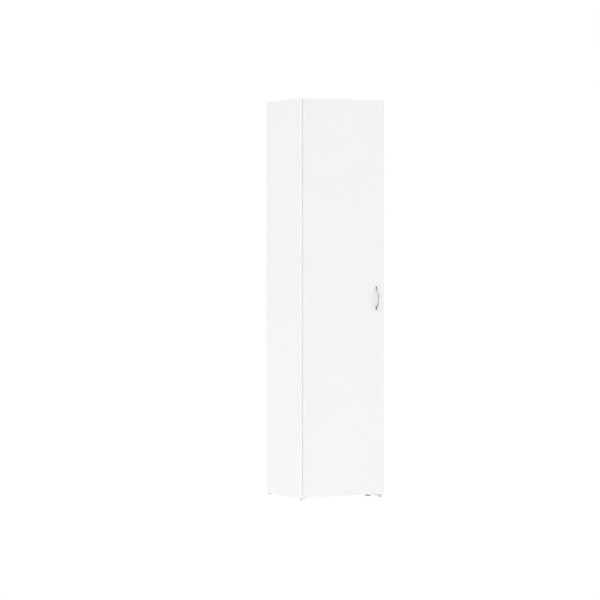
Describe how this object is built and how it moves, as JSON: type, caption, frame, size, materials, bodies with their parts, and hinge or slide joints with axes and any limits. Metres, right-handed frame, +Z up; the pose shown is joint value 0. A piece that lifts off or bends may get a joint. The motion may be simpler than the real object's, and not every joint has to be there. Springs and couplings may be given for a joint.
{
  "type": "wardrobe",
  "caption": "Tall narrow wardrobe with a full-height door hung on the left by concealed hinges, a bow handle, shelves and a clothes rail.",
  "frame": {"origin": "on the floor under the middle of the whole wardrobe, handle included", "axes": "+X to the right seen from the front, +Y to the back, +Z up"},
  "size_m": [0.394, 0.415, 1.754],
  "materials": {
    "white_board": "white melamine, satin",
    "white_door": "white melamine, satin",
    "back_sheet": "thin fibreboard, white inside",
    "satin_nickel": "satin nickel",
    "hinge_steel": "nickel plated",
    "screw_steel": "zinc plated",
    "rail_chrome": "bright chrome",
    "white_plastic": "matt white",
    "glide_plastic": "matt grey",
    "clear_rubber": "translucent soft",
    "beech": "raw beech",
    "magnet_black": "dark ferrite"
  },
  "bodies": {
    "carcass": {"side_panel_left": "white_board", "side_panel_right": "white_board", "top_panel": "white_board", "bottom_panel": "white_board", "plinth_board": "white_board", "hat_shelf": "white_board", "adjustable_shelf": "white_board", "back_panel": "back_sheet", "back_panel_nails": "screw_steel", "cam_bolts": "screw_steel", "cam_locks": "screw_steel", "cam_cover_caps": "white_plastic", "wood_dowels": "beech", "shelf_pins": "hinge_steel", "clothes_rail": "rail_chrome", "rail_support_left": "rail_chrome", "rail_support_right": "rail_chrome", "rail_support_screws": "screw_steel", "foot_glide_front_left": "glide_plastic", "foot_glide_back_left": "glide_plastic", "foot_glide_front_right": "glide_plastic", "foot_glide_back_right": "glide_plastic", "plinth_glide": "glide_plastic", "wall_bracket": "screw_steel", "wall_bracket_screws": "screw_steel", "catch_housing": "white_plastic", "catch_magnet": "magnet_black", "catch_screws": "screw_steel", "hinge_arm_bottom": "hinge_steel", "hinge_arm_middle": "hinge_steel", "hinge_arm_top": "hinge_steel", "hinge_plate_bottom": "hinge_steel", "hinge_plate_middle": "hinge_steel", "hinge_plate_top": "hinge_steel", "hinge_plate_screws": "screw_steel", "hinge_arm_screws": "screw_steel"},
    "door": {"door_panel": "white_door", "door_handle": "satin_nickel", "handle_screws": "screw_steel", "door_bumpers": "clear_rubber", "catch_strike_plate": "screw_steel", "hinge_cup_bottom": "hinge_steel", "hinge_cup_middle": "hinge_steel", "hinge_cup_top": "hinge_steel", "hinge_cup_screws": "screw_steel", "hinge_pins": "hinge_steel"}
  },
  "joints": [
    {"name": "door_swing", "type": "hinge", "parent": "carcass", "child": "door", "pos_m": [-0.1885, -0.1735, 0.8835], "axis": [0, 0, -1], "range_deg": [0, 95]}
  ]
}
